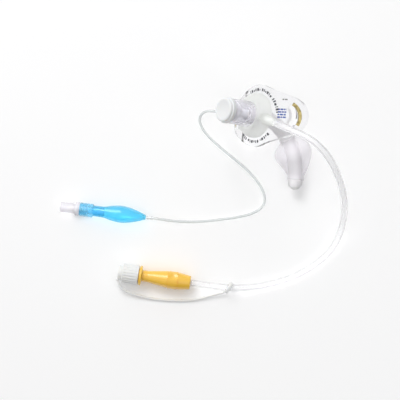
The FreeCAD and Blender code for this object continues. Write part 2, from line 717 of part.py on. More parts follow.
def make_balloon_neck():
    """The clear tapered sleeve that joins the inflation line to the balloon."""
    start = neck_start()
    end = start + NECK_L
    body = turned([(0, start), (NECK_R, start), (NECK_R, start + NECK_LAP), (NECK_END_R, end - 0.3),
                   (NECK_END_R - 0.2, end), (0, end)])
    bore = cylinder(INFLATION_LINE_R + BOND_GAP, Vec(0, 0, end - NECK_DEPTH), Vec(0, 0, 1), NECK_DEPTH + 1)
    air_way = cylinder(INFLATION_LINE_R / 2, Vec(0, 0, start - 1), Vec(0, 0, 1), NECK_L)
    return body.cut(bore).cut(air_way)


def capped_end_place():
    """The suction connector's frame: its port ring rests on the surface."""
    heading = math.radians(CONNECTOR_AXIS_HEADING)
    return frame_at(Vec(CAP_X, CAP_Y, PORT_RING_R), Vec(math.cos(heading), math.sin(heading), 0), Vec(0, 0, 1))


def nozzle_start():
    """Where the connector's nozzle ends inside the cap."""
    return CAP_FLOOR + CAP_END_GAP


def ring_start():
    """Where the connector's port ring starts, behind the cap."""
    return nozzle_start() + NOZZLE_L


def connector_tail_end():
    """Where the suction line enters the orange connector."""
    return ring_start() + PORT_RING_T + 0.7 + NECK_NARROW_L + CONE_L + BARREL_L + TAIL_L


def make_suction_connector():
    """The orange moulding: nozzle, port ring, flared neck, grooved barrel and tapered tail."""
    ring = ring_start()
    ring_end = ring + PORT_RING_T
    narrow = ring_end + 0.7
    flare = narrow + NECK_NARROW_L
    barrel = flare + CONE_L
    tail = barrel + BARREL_L
    end = connector_tail_end()
    rounding = 0.3
    body = turned([
        (PASSAGE_R, nozzle_start()), (NOZZLE_R - 0.4, nozzle_start()), (NOZZLE_R, nozzle_start() + 0.4),
        (NOZZLE_R, ring), (PORT_RING_R - rounding, ring), (PORT_RING_R, ring + rounding),
        (PORT_RING_R, ring_end - rounding), (PORT_RING_R - rounding, ring_end),
        (NECK_NARROW_R + 0.7, ring_end), ((NECK_NARROW_R + 0.2, ring_end + 0.2), (NECK_NARROW_R, narrow)),
        (NECK_NARROW_R, flare), (BARREL_R - 0.15, barrel), (BARREL_R - GROOVE_DEPTH, barrel),
        (BARREL_R - GROOVE_DEPTH, barrel + GROOVE_W), (BARREL_R, barrel + GROOVE_W), (BARREL_R, tail),
        (BARREL_R - GROOVE_DEPTH, tail), (BARREL_R - GROOVE_DEPTH, tail + GROOVE_W),
        (BARREL_R - 0.1, tail + GROOVE_W), (TAIL_END_R, end - 0.4), (TAIL_END_R - 0.4, end),
        (SUCTION_LINE_R + BOND_GAP, end), (SUCTION_LINE_R + BOND_GAP, end - LINE_SOCKET_L),
        (PASSAGE_R, end - LINE_SOCKET_L),
    ])
    dish_at = Vec(THUMB_DISH_R + BARREL_R - THUMB_DISH_DEPTH, 0, barrel + GROOVE_W + (BARREL_L - GROOVE_W) / 2)
    dish = Part.makeSphere(THUMB_DISH_R)
    dish.translate(dish_at)
    dish.rotate(Vec(0, 0, 0), Vec(0, 0, 1), THUMB_DISH_ANGLE)
    return body.cut(dish)


def make_suction_cap():
    """The white cap: a small front rim, a ribbed skirt, and a hollow that fits over the nozzle."""
    hollow_r = NOZZLE_R + SLIP_GAP
    skirt = CAP_RIM_L + 0.1
    shell = turned([
        (0, 0.3), (CAP_RIM_R - 1.2, 0.3), (CAP_RIM_R - 0.9, 0), (CAP_RIM_R - 0.3, 0), (CAP_RIM_R, 0.3),
        (CAP_RIM_R, CAP_RIM_L - 0.3), (CAP_RIM_R - 0.3, skirt), (CAP_R - 0.6, skirt), (CAP_R, skirt + 0.6),
        (CAP_R, CAP_L - 0.3), (CAP_R - 0.3, CAP_L), (hollow_r + 0.2, CAP_L), (hollow_r, CAP_L - 0.2),
        (hollow_r, CAP_FLOOR), (0, CAP_FLOOR),
    ])
    groove_r = 0.5
    groove_from = skirt + 0.9
    for rib in range(CAP_RIBS):
        groove = cylinder(groove_r, Vec(CAP_R + groove_r - CAP_RIB_DEPTH, 0, groove_from), Vec(0, 0, 1),
                          CAP_L - 0.9 - groove_from)
        groove.rotate(Vec(0, 0, 0), Vec(0, 0, 1), 360.0 * rib / CAP_RIBS)
        shell = shell.cut(groove)
    return shell


def make_cap_lug():
    """The lug on the cap's rim that the tether starts from, at its place on the surface."""
    way = (TETHER_ROUTE[1] - TETHER_ROUTE[0]).normalize()
    return cylinder(LUG_R, TETHER_ROUTE[0] - way * (LUG_GAP + LUG_L), way, LUG_L)


def make_tether_ring():
    """The ring round the suction line, an oval section turned about its axis and set aslant."""
    middle = Vec(RING_R, 0, 0)
    oval = Part.Ellipse(middle + Vec(0, 0, RING_HALF_W), middle + Vec(RING_HALF_T, 0, 0), middle)
    ring = Part.Face(Part.Wire(oval.toShape())).revolve(Vec(0, 0, 0), Vec(0, 0, 1), 360)
    return placed(ring, frame_at(RING_AT, RING_WAY, Vec(0, 0, 1)))


def build_head():
    """Every piece of the head, in the head's frame."""
    return {
        "neck_flange": make_neck_flange(),
        "hub_boss": make_hub_boss(),
        "connector_15mm": make_connector(),
        "outer_cannula": make_cannula(),
        "obturator": make_obturator(),
        "cuff": make_cuff(),
        "suction_line_gland": placed(make_gland(SUCTION_GLAND_R, SUCTION_GLAND_END_R, SUCTION_GLAND_L,
                                                SUCTION_GLAND_DEPTH, SUCTION_LINE_R), suction_gland_place()),
        "inflation_line_gland": placed(make_gland(INFLATION_GLAND_R, INFLATION_GLAND_END_R, INFLATION_GLAND_L,
                                                  INFLATION_GLAND_DEPTH, INFLATION_LINE_R),
                                       inflation_gland_place()),
    }


def build_pilot():
    """The pilot balloon and its check valve, with Z from the luer mouth to the inflation line."""
    return {
        "luer_inlet": make_luer_inlet(),
        "valve_body": make_valve_body(),
        "valve_plunger": make_valve_plunger(),
        "valve_seal": make_valve_seal(),
        "valve_spring": make_valve_spring(),
        "pilot_balloon": make_pilot_balloon(),
        "balloon_neck": make_balloon_neck(),
    }


def build_capped_end():
    """The suction connector and its cap, with Z from the cap's front to the suction line."""
    return {"suction_connector": make_suction_connector(), "suction_cap": make_suction_cap()}


def leaving(place, socket_z, run):
    """The two points of a line that leaves a socket along the frame's Z."""
    return [place.multVec(Vec(0, 0, socket_z)), place.multVec(Vec(0, 0, socket_z + run))]


def build_lines(head_at):
    """The two lines and the tether, from the sockets that hold their ends."""
    suction_from = head_at.multiply(suction_gland_place())
    inflation_from = head_at.multiply(inflation_gland_place())
    suction = leaving(suction_from, SUCTION_GLAND_L - SUCTION_GLAND_DEPTH, 14.0) + SUCTION_ROUTE
    suction += leaving(capped_end_place(), connector_tail_end() - LINE_SOCKET_L, 14.5)[::-1]
    inflation = leaving(inflation_from, INFLATION_GLAND_L - INFLATION_GLAND_DEPTH, 11.0) + INFLATION_ROUTE
    inflation += leaving(pilot_place(), neck_start() + NECK_L - NECK_DEPTH, 9.2)[::-1]
    for name, points in (("suction_line", suction), ("inflation_line", inflation)):
        print(name, "route", " ".join("(%.2f, %.2f, %.2f)" % tuple(p) for p in points))
    return {
        "suction_line": make_line("suction_line", suction, SUCTION_LINE_R),
        "inflation_line": make_line("inflation_line", inflation, INFLATION_LINE_R),
        "cap_tether": make_line("cap_tether", TETHER_ROUTE, TETHER_R),
        "tether_ring": make_tether_ring(),
    }


def settle(pieces):
    """Places the head so that it rests on the surface, with the origin under its middle."""
    turned_only = head_frame(Vec(0, 0, 0))
    box = FreeCAD.BoundBox()
    for piece in pieces.values():
        box.add(placed(piece, turned_only).optimalBoundingBox(False))
    return head_frame(Vec(-box.Center.x, -box.Center.y, -box.ZMin))


def main():
    head = build_head()
    place = settle(head)
    print("hub at", place.Base)
    parts = {name: placed(piece, place) for name, piece in head.items()}
    parts.update({name: placed(piece, pilot_place()) for name, piece in build_pilot().items()})
    parts.update({name: placed(piece, capped_end_place()) for name, piece in build_capped_end().items()})
    parts["suction_cap"] = parts["suction_cap"].fuse(make_cap_lug()).removeSplitter()
    parts.update(build_lines(place))
    for name, piece in parts.items():
        box = piece.optimalBoundingBox(False)
        print(name, piece.ShapeType, len(piece.Solids), "valid", piece.isValid(), "%.1f mm3" % piece.Volume,
              "z %.2f to %.2f" % (box.ZMin, box.ZMax))
    os.makedirs("parts", exist_ok=True)
    for name, piece in parts.items():
        piece.exportStep("parts/" + name + ".step")


main()
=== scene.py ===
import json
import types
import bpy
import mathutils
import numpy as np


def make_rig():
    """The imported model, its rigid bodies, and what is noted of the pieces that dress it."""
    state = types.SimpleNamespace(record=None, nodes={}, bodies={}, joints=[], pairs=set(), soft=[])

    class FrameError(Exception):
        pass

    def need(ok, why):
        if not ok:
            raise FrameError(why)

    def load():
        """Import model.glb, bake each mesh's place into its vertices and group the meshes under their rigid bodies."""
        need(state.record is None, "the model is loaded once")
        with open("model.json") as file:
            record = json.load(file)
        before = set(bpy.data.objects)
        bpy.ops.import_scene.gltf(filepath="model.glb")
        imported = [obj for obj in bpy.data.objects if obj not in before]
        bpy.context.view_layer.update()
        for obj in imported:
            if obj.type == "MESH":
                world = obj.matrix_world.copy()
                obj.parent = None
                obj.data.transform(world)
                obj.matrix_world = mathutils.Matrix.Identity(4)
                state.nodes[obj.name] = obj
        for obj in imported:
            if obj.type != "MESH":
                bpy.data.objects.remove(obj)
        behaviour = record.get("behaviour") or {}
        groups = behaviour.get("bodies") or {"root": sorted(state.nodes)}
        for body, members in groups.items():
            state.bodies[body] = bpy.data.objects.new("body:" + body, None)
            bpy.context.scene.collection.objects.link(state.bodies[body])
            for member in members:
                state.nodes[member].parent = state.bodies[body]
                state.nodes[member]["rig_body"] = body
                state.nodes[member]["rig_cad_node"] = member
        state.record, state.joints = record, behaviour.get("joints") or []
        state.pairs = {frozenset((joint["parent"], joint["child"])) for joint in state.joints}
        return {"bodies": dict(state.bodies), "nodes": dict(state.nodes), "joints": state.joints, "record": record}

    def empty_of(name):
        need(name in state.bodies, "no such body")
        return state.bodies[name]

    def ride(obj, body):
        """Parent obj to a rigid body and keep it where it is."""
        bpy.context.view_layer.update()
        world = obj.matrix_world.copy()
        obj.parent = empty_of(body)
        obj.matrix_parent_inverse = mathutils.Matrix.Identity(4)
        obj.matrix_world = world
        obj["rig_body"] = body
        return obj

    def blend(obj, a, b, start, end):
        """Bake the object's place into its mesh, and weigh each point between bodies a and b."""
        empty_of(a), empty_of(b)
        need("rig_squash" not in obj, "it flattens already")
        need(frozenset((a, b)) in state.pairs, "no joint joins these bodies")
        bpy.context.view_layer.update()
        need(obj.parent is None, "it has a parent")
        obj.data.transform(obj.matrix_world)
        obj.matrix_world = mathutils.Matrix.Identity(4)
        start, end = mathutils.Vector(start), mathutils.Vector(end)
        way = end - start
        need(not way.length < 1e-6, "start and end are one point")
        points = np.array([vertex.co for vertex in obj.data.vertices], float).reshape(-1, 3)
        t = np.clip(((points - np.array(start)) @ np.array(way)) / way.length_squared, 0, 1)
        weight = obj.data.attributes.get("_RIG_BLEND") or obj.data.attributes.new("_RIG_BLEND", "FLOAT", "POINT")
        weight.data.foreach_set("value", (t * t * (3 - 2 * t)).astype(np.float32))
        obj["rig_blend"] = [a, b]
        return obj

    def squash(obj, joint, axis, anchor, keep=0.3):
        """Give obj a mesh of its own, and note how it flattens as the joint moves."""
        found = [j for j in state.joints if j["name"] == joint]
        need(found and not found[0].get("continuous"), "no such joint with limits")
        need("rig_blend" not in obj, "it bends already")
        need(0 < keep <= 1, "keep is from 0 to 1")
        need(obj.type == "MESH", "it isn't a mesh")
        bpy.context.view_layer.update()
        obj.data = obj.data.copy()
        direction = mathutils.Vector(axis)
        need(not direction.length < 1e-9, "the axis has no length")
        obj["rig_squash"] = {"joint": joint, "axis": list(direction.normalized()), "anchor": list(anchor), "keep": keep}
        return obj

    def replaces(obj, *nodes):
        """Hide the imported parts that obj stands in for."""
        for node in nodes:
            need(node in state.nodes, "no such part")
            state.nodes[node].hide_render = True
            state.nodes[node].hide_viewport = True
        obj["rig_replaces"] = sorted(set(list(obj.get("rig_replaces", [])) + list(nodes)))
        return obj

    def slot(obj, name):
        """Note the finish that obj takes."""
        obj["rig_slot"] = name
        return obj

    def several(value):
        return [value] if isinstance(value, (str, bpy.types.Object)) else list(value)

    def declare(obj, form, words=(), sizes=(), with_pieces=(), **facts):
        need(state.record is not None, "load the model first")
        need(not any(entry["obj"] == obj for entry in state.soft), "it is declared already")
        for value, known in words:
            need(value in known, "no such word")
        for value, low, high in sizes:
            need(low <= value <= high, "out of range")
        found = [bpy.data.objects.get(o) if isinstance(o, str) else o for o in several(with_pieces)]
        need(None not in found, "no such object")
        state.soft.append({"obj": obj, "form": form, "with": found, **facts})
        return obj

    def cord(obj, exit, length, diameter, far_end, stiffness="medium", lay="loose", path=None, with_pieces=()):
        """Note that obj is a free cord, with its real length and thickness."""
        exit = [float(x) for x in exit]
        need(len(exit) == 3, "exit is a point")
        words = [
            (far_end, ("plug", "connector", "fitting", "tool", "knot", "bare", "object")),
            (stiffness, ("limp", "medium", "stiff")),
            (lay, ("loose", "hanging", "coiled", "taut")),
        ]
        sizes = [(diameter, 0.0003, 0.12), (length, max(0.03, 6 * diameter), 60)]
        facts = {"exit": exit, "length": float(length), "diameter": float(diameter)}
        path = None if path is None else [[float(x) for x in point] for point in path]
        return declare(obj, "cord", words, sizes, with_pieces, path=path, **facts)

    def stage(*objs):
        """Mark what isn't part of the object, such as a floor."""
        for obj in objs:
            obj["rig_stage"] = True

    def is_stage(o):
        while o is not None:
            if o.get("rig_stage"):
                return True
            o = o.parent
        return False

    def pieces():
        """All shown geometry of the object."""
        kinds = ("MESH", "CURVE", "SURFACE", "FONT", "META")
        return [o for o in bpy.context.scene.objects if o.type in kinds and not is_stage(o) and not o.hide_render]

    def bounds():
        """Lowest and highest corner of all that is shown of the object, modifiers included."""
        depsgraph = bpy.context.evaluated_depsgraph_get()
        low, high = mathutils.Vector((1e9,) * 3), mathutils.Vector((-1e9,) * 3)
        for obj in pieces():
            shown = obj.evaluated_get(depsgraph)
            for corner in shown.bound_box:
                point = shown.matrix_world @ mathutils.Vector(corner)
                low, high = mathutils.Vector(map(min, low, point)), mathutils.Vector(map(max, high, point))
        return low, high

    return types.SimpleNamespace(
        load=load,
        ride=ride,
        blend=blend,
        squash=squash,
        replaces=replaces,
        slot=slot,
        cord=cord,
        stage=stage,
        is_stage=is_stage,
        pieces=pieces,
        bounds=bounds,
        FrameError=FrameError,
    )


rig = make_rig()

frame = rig.load()

import bpy
import bmesh
import json
import math
from mathutils import Matrix, Vector

cad_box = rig.bounds()
scene = bpy.context.scene
MM = 0.001

# Camera: nearly straight down, with 256 mm across the picture
AIM = Vector((-0.0400, -0.0374, 0.0))
LIFT = math.radians(86.0)
DISTANCE = 0.8
camera_data = bpy.data.cameras.new("camera")
camera_data.sensor_width = 36.0
camera_data.lens = 112.5
camera = bpy.data.objects.new("camera", camera_data)
camera.location = AIM + Vector((0, -math.cos(LIFT), math.sin(LIFT))) * DISTANCE
camera.rotation_euler = (math.radians(90.0) - LIFT, 0, 0)
scene.collection.objects.link(camera)
scene.camera = camera

# Routes, as in the CAD, in millimetres
SUCTION_ROUTE = [
    (-0.55, 9.02, 44.95), (10.06, 3.01, 51.82), (22.7, -2.4, 54.5), (32.6, -9.2, 52.5), (40.2, -18.1, 45.0),
    (45.8, -27.5, 34.5), (49.9, -37.7, 22.5), (51.1, -48.9, 11.5), (48.6, -60.6, 4.4), (42.4, -71.4, 2.3),
    (31.9, -79.9, 2.2), (19.7, -86.6, 2.2), (6.4, -90.7, 2.2), (-7.6, -93.3, 2.9), (-22.0, -93.6, 4.8),
    (-37.68, -91.55, 6.25), (-52.03, -89.43, 6.25),
]
INFLATION_ROUTE = [
    (-15.93, 15.09, 27.03), (-24.25, 16.09, 19.91), (-32.1, 18.4, 12.0), (-37.8, 18.6, 7.5),
    (-40.6, 14.6, 4.0), (-39.0, 8.7, 2.0), (-33.6, 2.1, 0.95), (-23.3, -6.9, 0.9), (-11.2, -16.6, 0.9),
    (-2.6, -25.9, 0.9), (1.9, -34.9, 0.9), (0.6, -41.9, 0.9), (-6.5, -46.4, 0.9), (-17.0, -48.7, 0.9),
    (-29.0, -50.3, 0.9), (-42.6, -51.6, 1.9), (-54.5, -51.5, 4.2), (-64.59, -50.09, 6.02),
    (-73.71, -48.93, 5.73),
]
TETHER_ROUTE = [
    (-91.99, -89.04, 5.25), (-90.78, -93.11, 4.57), (-86.4, -96.0, 3.2), (-80.0, -98.4, 1.9),
    (-71.5, -100.3, 1.1), (-61.5, -101.5, 0.8), (-51.0, -101.8, 0.8), (-41.3, -100.9, 1.0),
    (-33.0, -98.3, 1.7), (-24.75, -96.18, 2.97),
]


def new_object(name, mesh):
    thing = bpy.data.objects.new(name, mesh)
    scene.collection.objects.link(thing)
    return thing


def object_from(name, built, smooth=True):
    """A mesh object from a finished bmesh."""
    mesh = bpy.data.meshes.new(name)
    for face in built.faces:
        face.smooth = smooth
    built.to_mesh(mesh)
    built.free()
    return new_object(name, mesh)


def walled(thing, wall):
    """Gives an open skin its wall, on the inside."""
    solid = thing.modifiers.new("wall", "SOLIDIFY")
    solid.thickness = wall
    solid.offset = -1.0
    return thing


# Materials
def mould_group():
    """Slow tone change, fine mottling and a soft surface height, from a place on the object."""
    group = bpy.data.node_groups.new("moulded_variation", "ShaderNodeTree")
    face = group.interface
    face.new_socket(name="Place", in_out="INPUT", socket_type="NodeSocketVector")
    face.new_socket(name="Color", in_out="INPUT", socket_type="NodeSocketColor")
    for name, value in (("Scale", 60.0), ("Tone", 0.06), ("Rough", 0.2), ("Rough change", 0.1)):
        socket = face.new_socket(name=name, in_out="INPUT", socket_type="NodeSocketFloat")
        socket.default_value = value
    face.new_socket(name="Color", in_out="OUTPUT", socket_type="NodeSocketColor")
    face.new_socket(name="Roughness", in_out="OUTPUT", socket_type="NodeSocketFloat")
    face.new_socket(name="Height", in_out="OUTPUT", socket_type="NodeSocketFloat")
    nodes, links = group.nodes, group.links
    start = nodes.new("NodeGroupInput")
    end = nodes.new("NodeGroupOutput")
    slow = nodes.new("ShaderNodeTexNoise")
    slow.inputs["Detail"].default_value = 3.0
    links.new(start.outputs["Place"], slow.inputs["Vector"])
    links.new(start.outputs["Scale"], slow.inputs["Scale"])
    fine = nodes.new("ShaderNodeTexNoise")
    fine.inputs["Detail"].default_value = 4.0
    more = nodes.new("ShaderNodeMath")
    more.operation = "MULTIPLY"
    more.inputs[1].default_value = 14.0
    links.new(start.outputs["Scale"], more.inputs[0])
    links.new(start.outputs["Place"], fine.inputs["Vector"])
    links.new(more.outputs[0], fine.inputs["Scale"])
    span = nodes.new("ShaderNodeMapRange")
    span.inputs["From Min"].default_value = 0.3
    span.inputs["From Max"].default_value = 0.7
    links.new(slow.outputs["Fac"], span.inputs["Value"])
    down = nodes.new("ShaderNodeMath")
    down.operation = "MULTIPLY"
    links.new(span.outputs["Result"], down.inputs[0])
    links.new(start.outputs["Tone"], down.inputs[1])
    dark = nodes.new("ShaderNodeMix")
    dark.data_type = "RGBA"
    dark.blend_type = "MULTIPLY"
    links.new(down.outputs[0], dark.inputs["Factor"])
    links.new(start.outputs["Color"], dark.inputs["A"])
    dark.inputs["B"].default_value = (0.0, 0.0, 0.0, 1.0)
    links.new(dark.outputs["Result"], end.inputs["Color"])
    rough = nodes.new("ShaderNodeMath")
    rough.operation = "MULTIPLY_ADD"
    links.new(fine.outputs["Fac"], rough.inputs[0])
    links.new(start.outputs["Rough change"], rough.inputs[1])
    links.new(start.outputs["Rough"], rough.inputs[2])
    links.new(rough.outputs[0], end.inputs["Roughness"])
    links.new(fine.outputs["Fac"], end.inputs["Height"])
    return group


MOULD = mould_group()


COAT_ROUGHNESS = 0.22
BUMP_DEPTH = 0.00005


def plastic(name, color, rough=0.25, change=0.1, tone=0.06, scale=60.0, bump=0.05, clear=0.0,
            ior=1.46, alpha=1.0, scatter=0.0, scatter_reach=0.004, coat=0.0, metallic=0.0):
    """A moulded plastic with slow tone change, uneven gloss and a faint surface."""
    made = bpy.data.materials.new(name)
    made.use_nodes = True
    nodes, links = made.node_tree.nodes, made.node_tree.links
    shader = nodes["Principled BSDF"]
    place = nodes.new("ShaderNodeTexCoord")
    group = nodes.new("ShaderNodeGroup")
    group.node_tree = MOULD
    group.inputs["Color"].default_value = (*color, 1.0)
    group.inputs["Scale"].default_value = scale
    group.inputs["Tone"].default_value = tone
    group.inputs["Rough"].default_value = rough - change / 2
    group.inputs["Rough change"].default_value = change
    links.new(place.outputs["Object"], group.inputs["Place"])
    links.new(group.outputs["Color"], shader.inputs["Base Color"])
    links.new(group.outputs["Roughness"], shader.inputs["Roughness"])
    if bump:
        lift = nodes.new("ShaderNodeBump")
        lift.inputs["Strength"].default_value = bump
        lift.inputs["Distance"].default_value = BUMP_DEPTH
        links.new(group.outputs["Height"], lift.inputs["Height"])
        links.new(lift.outputs["Normal"], shader.inputs["Normal"])
    shader.inputs["Transmission Weight"].default_value = clear
    shader.inputs["IOR"].default_value = ior
    shader.inputs["Alpha"].default_value = alpha
    shader.inputs["Coat Weight"].default_value = coat
    shader.inputs["Coat Roughness"].default_value = COAT_ROUGHNESS
    shader.inputs["Metallic"].default_value = metallic
    if scatter:
        shader.inputs["Subsurface Weight"].default_value = scatter
        shader.inputs["Subsurface Radius"].default_value = (1.0, 0.8, 0.6)
        shader.inputs["Subsurface Scale"].default_value = scatter_reach
    return made


clear_soft = plastic("clear_soft_pvc", (0.95, 0.95, 0.96), rough=0.08, change=0.06, tone=0.03, bump=0.0,
                     clear=1.0, ior=1.34)
clear_hub = plastic("clear_hub_pvc", (0.90, 0.91, 0.89), rough=0.34, change=0.06, tone=0.04, bump=0.0,
                    clear=0.76, ior=1.12)
frosted = plastic("frosted_pvc", (0.88, 0.87, 0.88), rough=0.34, tone=0.03, bump=0.0, clear=0.45, ior=1.15)
clear_rigid = plastic("clear_rigid", (0.93, 0.92, 0.96), rough=0.2, change=0.06, tone=0.03, bump=0.0,
                      clear=0.82, ior=1.16)
luer_clear = plastic("luer_clear", (0.90, 0.89, 0.92), rough=0.2, change=0.06, tone=0.03, bump=0.0,
                     clear=0.6, ior=1.2)
line_clear = plastic("line_clear", (0.95, 0.95, 0.955), rough=0.18, change=0.06, tone=0.02, bump=0.0,
                     clear=0.85, ior=1.18)
line_thin = plastic("line_thin", (0.81, 0.83, 0.83), rough=0.25, change=0.06, tone=0.02, bump=0.0,
                    clear=0.5, ior=1.13)
handle_grey = plastic("handle_off_white", (0.80, 0.81, 0.81), rough=0.42, change=0.12, tone=0.03, bump=0.1,
                      scatter=0.2)
milky = plastic("milky_film", (0.84, 0.81, 0.86), rough=0.3, tone=0.03, bump=0.0, alpha=0.2)
orange = plastic("orange_moulding", (1.0, 0.59, 0.06), rough=0.32, change=0.08, tone=0.05, scatter=0.2,
                 scatter_reach=0.003, coat=1.0)
white = plastic("white_moulding", (0.87, 0.87, 0.85), rough=0.38, change=0.12, tone=0.04, bump=0.1,
                scatter=0.2)
blue = plastic("blue_moulding", (0.34, 0.76, 0.96), rough=0.2, tone=0.05, bump=0.0, clear=0.85, ior=1.25,
               coat=0.4)
film_blue = plastic("blue_film", (0.30, 0.80, 0.97), rough=0.14, change=0.08, tone=0.04, bump=0.0,
                    clear=0.9, ior=1.25, coat=0.5)
seal_black = plastic("seal_black", (0.03, 0.03, 0.035), rough=0.5, change=0.15)
steel = plastic("spring_steel", (0.62, 0.62, 0.63), rough=0.28, metallic=1.0, bump=0.03)
print_dark = plastic("print_dark", (0.045, 0.045, 0.06), rough=0.5, tone=0.25, scale=900.0)
print_blue = plastic("print_blue", (0.06, 0.11, 0.42), rough=0.45, tone=0.25, scale=900.0)
print_grey = plastic("print_grey", (0.25, 0.25, 0.24), rough=0.5, tone=0.25, scale=900.0)
amber = plastic("amber_band", (0.88, 0.72, 0.30), rough=0.22, tone=0.75, scale=700.0, clear=0.4, ior=1.3,
                coat=0.3)

# Finishes of the CAD nodes that stay in view. The clear ones cast no shadow.
FINISH = {
    "neck_flange": clear_soft, "hub_boss": clear_hub, "outer_cannula": frosted,
    "suction_line_gland": clear_hub, "inflation_line_gland": clear_hub, "balloon_neck": clear_soft,
    "connector_15mm": clear_rigid, "luer_inlet": luer_clear, "obturator": handle_grey,
    "suction_connector": orange, "suction_cap": white, "tether_ring": white, "valve_body": blue,
    "valve_plunger": white, "valve_seal": seal_black,
}
CLEAR_NODES = ["neck_flange", "hub_boss", "outer_cannula", "suction_line_gland", "inflation_line_gland",
               "balloon_neck", "connector_15mm", "luer_inlet", "valve_body"]
for node, finish in FINISH.items():
    thing = frame["nodes"][node]
    if len(thing.material_slots) == 0:
        thing.data.materials.append(finish)
    for holder in thing.material_slots:
        holder.link = "OBJECT"
        holder.material = finish
for node in CLEAR_NODES:
    frame["nodes"][node].visible_shadow = False


# Lines
MERGE_DISTANCE = 0.000001


def line_mesh(name, route, radius=0.0, ends=False):
    """The route's own smooth spline, bare or with a round section swept along it."""
    curve = bpy.data.curves.new(name, "CURVE")
    curve.dimensions = "3D"
    spline = curve.splines.new("NURBS")
    spline.points.add(len(route) - 1)
    for point, spot in zip(spline.points, route):
        point.co = (spot[0] * MM, spot[1] * MM, spot[2] * MM, 1.0)
    spline.order_u = 3
    spline.use_endpoint_u = True
    spline.resolution_u = 10
    curve.bevel_depth = radius
    curve.bevel_resolution = 8
    curve.use_fill_caps = ends
    holder = new_object(name, curve)
    bpy.context.view_layer.update()
    mesh = bpy.data.meshes.new_from_object(holder)
    bpy.data.objects.remove(holder)
    return mesh


def spline_points(route):
    """Points along the route's spline."""
    return [vert.co.copy() for vert in line_mesh("path", route).vertices]


def swept(name, route, radius, wall=0.0):
    """A round line along the route, solid or with a wall."""
    built = bmesh.new()
    built.from_mesh(line_mesh(name, route, radius, ends=not wall))
    bmesh.ops.remove_doubles(built, verts=built.verts, dist=MERGE_DISTANCE)
    thing = object_from(name, built)
    return walled(thing, wall) if wall else thing


def dress(thing, finish, slot, body="tube"):
    """Gives a new piece its finish and slot, and its body unless it bends between two."""
    thing.data.materials.append(finish)
    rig.slot(thing, slot)
    if body:
        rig.ride(thing, body)
    return thing


SUCTION_R = 0.0021
SUCTION_WALL = 0.00075
INFLATION_R = 0.00085
INFLATION_WALL = 0.0004
TETHER_R = 0.00075
suction_points = spline_points(SUCTION_ROUTE)
suction_tube = dress(swept("suction_tube", SUCTION_ROUTE, SUCTION_R, SUCTION_WALL), line_clear, "line_pvc")
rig.replaces(suction_tube, "suction_line")
inflation_points = spline_points(INFLATION_ROUTE)
inflation_tube = dress(swept("inflation_tube", INFLATION_ROUTE, INFLATION_R, INFLATION_WALL), line_thin,
                       "line_pvc")
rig.replaces(inflation_tube, "inflation_line")
tether_points = spline_points(TETHER_ROUTE)
tether = dress(swept("tether_strap", TETHER_ROUTE, TETHER_R), white, "white_plastic", body=None)
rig.replaces(tether, "cap_tether")
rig.blend(tether, "tube", "cap", start=(-0.070, -0.1006, 0.001), end=(-0.0895, -0.0925, 0.0047))

for tube in (suction_tube, inflation_tube):
    tube.visible_shadow = False


# The head's frame
HUB = Vector((-5.204156, 12.377894, 33.703988))
CONNECTOR_HEADING = math.radians(176.5)
CONNECTOR_RISE = math.radians(39.6)
HEAD_ROLL = math.radians(-2.6)


def head_matrix():
    """The head's frame as in the CAD: Z along the connector, X along the wings."""
    out = Vector((math.cos(CONNECTOR_RISE) * math.cos(CONNECTOR_HEADING),
                  math.cos(CONNECTOR_RISE) * math.sin(CONNECTOR_HEADING), math.sin(CONNECTOR_RISE)))
    crown = Vector((math.sin(CONNECTOR_HEADING), -math.cos(CONNECTOR_HEADING), 0))
    level = Matrix((crown.cross(out), crown, out)).transposed()
    return Matrix.Translation(HUB * MM) @ (level @ Matrix.Rotation(HEAD_ROLL, 3, "Z")).to_4x4()


HEAD = head_matrix()

# Print on the plate, as plain dashes and bands
PLATE_FLAT = 7.632
PLATE_BEND_R = 14.0
WING_SWEEP = math.radians(25.5)
PRINT_LIFT = 0.05
PRINT_THICKNESS = 0.00002


def plate_height(x):
    """The height of the plate's front face in the head's frame, in millimetres."""
    run = abs(x) - PLATE_FLAT
    if run <= 0:
        return 0.0
    bend_run = PLATE_BEND_R * math.sin(WING_SWEEP)
    turn = math.asin(min(run, bend_run) / PLATE_BEND_R)
    return -PLATE_BEND_R * (1 - math.cos(turn)) - max(run - bend_run, 0.0) * math.tan(WING_SWEEP)


def on_plate(x, y, lift):
    """A point above the plate's front face, in world metres."""
    return HEAD @ (Vector((x, y, plate_height(x) + lift)) * MM)


def arc(inner, outer, start, end, centre=(0.0, 0.0)):
    """A piece of a ring as a rule from a grid's place to the plate, angles in degrees."""
    def spot(along, across):
        angle = math.radians(start + (end - start) * along)
        radius = inner + (outer - inner) * across
        return centre[0] + radius * math.cos(angle), centre[1] + radius * math.sin(angle)
    return spot


def dash(left, right, bottom, top):
    """A plain dash as a rule from a grid's place to the plate."""
    def spot(along, across):
        return left + (right - left) * along, bottom + (top - bottom) * across
    return spot


def printed(name, pieces, finish, slot):
    """Thin print on the plate's front: a grid for each piece, laid out by its rule and given a thickness."""
    built = bmesh.new()
    for steps, spot in pieces:
        grid = bmesh.ops.create_grid(built, x_segments=steps, y_segments=1, size=1.0)
        for vert in grid["verts"]:
            vert.co = on_plate(*spot((vert.co.x + 1) / 2, (vert.co.y + 1) / 2), PRINT_LIFT)
    bmesh.ops.solidify(built, geom=built.faces[:], thickness=PRINT_THICKNESS)
    bmesh.ops.recalc_face_normals(built, faces=built.faces)
    return dress(object_from(name, built, smooth=False), finish, slot)


MARK_FOOT_R = 15.35
MARK_HEIGHT = 1.7
MARK_SHORT = 0.72
MARK_WIDTHS = (2.6, 4.2, 1.8, 5.4, 3.1)
MARK_GAP = 2.6
MARK_GROUP_GAP = 6.0
MARK_ARCS = ((6.0, 122.0), (210.0, 318.0))


